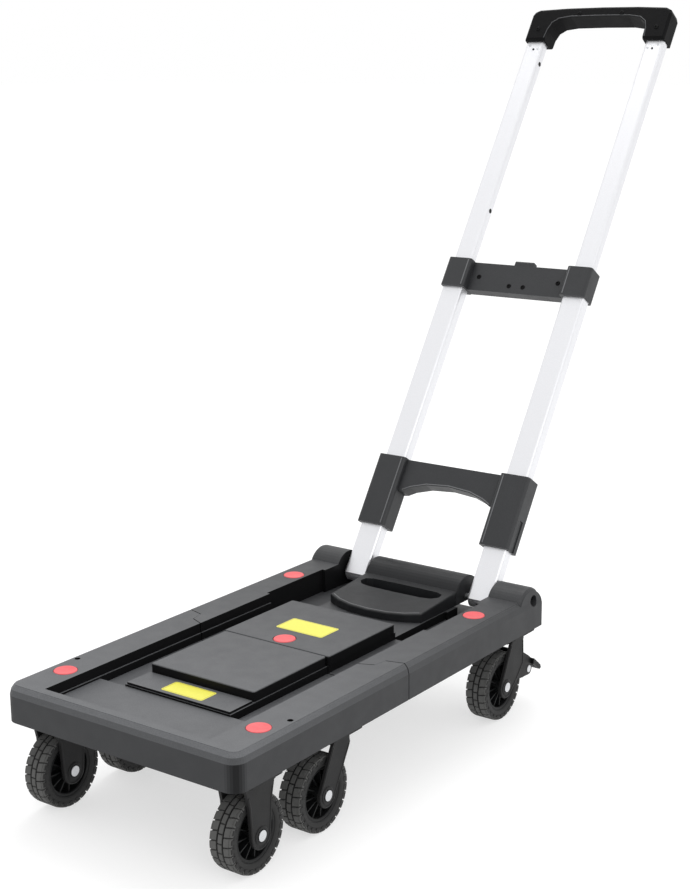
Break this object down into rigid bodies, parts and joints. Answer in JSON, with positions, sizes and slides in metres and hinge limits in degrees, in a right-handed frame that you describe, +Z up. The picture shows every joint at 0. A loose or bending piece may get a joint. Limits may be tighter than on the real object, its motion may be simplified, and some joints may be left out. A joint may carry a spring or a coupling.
{
  "type": "folding platform cart",
  "caption": "Compact folding platform cart: two-part sliding plastic deck on small casters with a telescopic aluminium handle that folds flat over the deck.",
  "frame": {"origin": "on the floor, at the centre of the object's box seen from above", "axes": "+X to the right side of the deck, +Y to the handle end, +Z up"},
  "size_m": [0.29, 0.9334, 0.7701],
  "materials": {
    "deck_plastic": "charcoal moulded plastic with a fine grain",
    "black_plastic": "near-black moulded plastic",
    "caster_grey": "dark grey moulded nylon",
    "tyre_rubber": "dark grey tread rubber",
    "aluminium": "pale satin anodised",
    "steel": "bright zinc plated",
    "red_plastic": "salmon-red moulded plastic"
  },
  "bodies": {
    "rear_platform": {"rear_deck": "deck_plastic", "rear_base": "black_plastic", "rear_panel": "deck_plastic", "red_cap_rear_left": "red_plastic", "red_cap_rear_right": "red_plastic", "slide_rail_left": "steel", "slide_rail_right": "steel", "hinge_axle": "steel", "caster_plate_mid_left": "caster_grey", "caster_plate_mid_right": "caster_grey", "caster_plate_rear_left": "caster_grey", "caster_plate_rear_right": "caster_grey"},
    "front_platform": {"front_deck": "deck_plastic", "front_base": "black_plastic", "front_panel": "deck_plastic", "red_cap_front_left": "red_plastic", "red_cap_front_right": "red_plastic", "fork_front_left": "caster_grey", "fork_front_right": "caster_grey", "axle_front_left": "steel", "axle_front_right": "steel"},
    "lower_handle": {"handle_foot_left": "aluminium", "handle_foot_right": "aluminium", "outer_tube_left": "aluminium", "outer_tube_right": "aluminium", "low_bracket": "black_plastic", "mid_bracket": "black_plastic"},
    "upper_handle": {"inner_tube_left": "aluminium", "inner_tube_right": "aluminium", "grip": "black_plastic"},
    "release_tab": {"release_button": "black_plastic"},
    "extension_button": {"lock_button": "red_plastic"},
    "carry_grip": {"carry_handle": "deck_plastic"},
    "swivel_mid_left": {"fork_mid_left": "caster_grey", "axle_mid_left": "steel"},
    "swivel_mid_right": {"fork_mid_right": "caster_grey", "axle_mid_right": "steel"},
    "swivel_rear_left": {"fork_rear_left": "caster_grey", "axle_rear_left": "steel"},
    "swivel_rear_right": {"fork_rear_right": "caster_grey", "axle_rear_right": "steel"},
    "wheel_front_left": {"tyre_front_left": "tyre_rubber", "hub_front_left": "black_plastic"},
    "wheel_front_right": {"tyre_front_right": "tyre_rubber", "hub_front_right": "black_plastic"},
    "wheel_mid_left": {"tyre_mid_left": "tyre_rubber", "hub_mid_left": "black_plastic"},
    "wheel_mid_right": {"tyre_mid_right": "tyre_rubber", "hub_mid_right": "black_plastic"},
    "wheel_rear_left": {"tyre_rear_left": "tyre_rubber", "hub_rear_left": "black_plastic"},
    "wheel_rear_right": {"tyre_rear_right": "tyre_rubber", "hub_rear_right": "black_plastic"},
    "brake_rear_left": {"brake_pedal_rear_left": "black_plastic"},
    "brake_rear_right": {"brake_pedal_rear_right": "black_plastic"}
  },
  "joints": [
    {"name": "handle_fold", "type": "hinge", "parent": "rear_platform", "child": "lower_handle", "pos_m": [0, 0.03781, 0.1205], "axis": [1, 0, 0], "range_deg": [0, 119]},
    {"name": "handle_telescope", "type": "slide", "parent": "lower_handle", "child": "upper_handle", "axis": [0, -0.5505, -0.8348], "range_m": [0, 0.298]},
    {"name": "telescope_release", "type": "slide", "parent": "lower_handle", "child": "release_tab", "axis": [0, -0.5505, -0.8348], "range_m": [0, 0.003], "stiffness_N_per_m": 500},
    {"name": "carry_handle_lift", "type": "hinge", "parent": "rear_platform", "child": "carry_grip", "pos_m": [0, 0.03781, 0.1205], "axis": [-1, 0, 0], "range_deg": [0, 45]},
    {"name": "deck_extension", "type": "slide", "parent": "rear_platform", "child": "front_platform", "axis": [0, -1, 0], "range_m": [0, 0.15]},
    {"name": "extension_release", "type": "slide", "parent": "rear_platform", "child": "extension_button", "axis": [0, 0, -1], "range_m": [0, 0.003], "stiffness_N_per_m": 500},
    {"name": "swivel_mid_left", "type": "hinge", "parent": "rear_platform", "child": "swivel_mid_left", "pos_m": [-0.1175, -0.29939, 0.05], "axis": [0, 0, 1], "continuous": true},
    {"name": "swivel_mid_right", "type": "hinge", "parent": "rear_platform", "child": "swivel_mid_right", "pos_m": [0.1175, -0.29939, 0.05], "axis": [0, 0, 1], "continuous": true},
    {"name": "swivel_rear_left", "type": "hinge", "parent": "rear_platform", "child": "swivel_rear_left", "pos_m": [-0.1175, 0.02931, 0.05], "axis": [0, 0, 1], "continuous": true},
    {"name": "swivel_rear_right", "type": "hinge", "parent": "rear_platform", "child": "swivel_rear_right", "pos_m": [0.1175, 0.02931, 0.05], "axis": [0, 0, 1], "continuous": true},
    {"name": "wheel_front_left", "type": "hinge", "parent": "front_platform", "child": "wheel_front_left", "pos_m": [-0.1175, -0.42209, 0.0382], "axis": [1, 0, 0], "continuous": true},
    {"name": "wheel_front_right", "type": "hinge", "parent": "front_platform", "child": "wheel_front_right", "pos_m": [0.1175, -0.42209, 0.0382], "axis": [1, 0, 0], "continuous": true},
    {"name": "wheel_mid_left", "type": "hinge", "parent": "swivel_mid_left", "child": "wheel_mid_left", "pos_m": [-0.1175, -0.32339, 0.0382], "axis": [1, 0, 0], "continuous": true},
    {"name": "wheel_mid_right", "type": "hinge", "parent": "swivel_mid_right", "child": "wheel_mid_right", "pos_m": [0.1175, -0.32339, 0.0382], "axis": [1, 0, 0], "continuous": true},
    {"name": "wheel_rear_left", "type": "hinge", "parent": "swivel_rear_left", "child": "wheel_rear_left", "pos_m": [-0.1175, 0.00531, 0.0382], "axis": [1, 0, 0], "continuous": true},
    {"name": "wheel_rear_right", "type": "hinge", "parent": "swivel_rear_right", "child": "wheel_rear_right", "pos_m": [0.1175, 0.00531, 0.0382], "axis": [1, 0, 0], "continuous": true},
    {"name": "brake_rear_left", "type": "hinge", "parent": "swivel_rear_left", "child": "brake_rear_left", "pos_m": [-0.1175, 0.05331, 0.0445], "axis": [-1, 0, 0], "range_deg": [0, 8]},
    {"name": "brake_rear_right", "type": "hinge", "parent": "swivel_rear_right", "child": "brake_rear_right", "pos_m": [0.1175, 0.05331, 0.0445], "axis": [-1, 0, 0], "range_deg": [0, 8]}
  ]
}
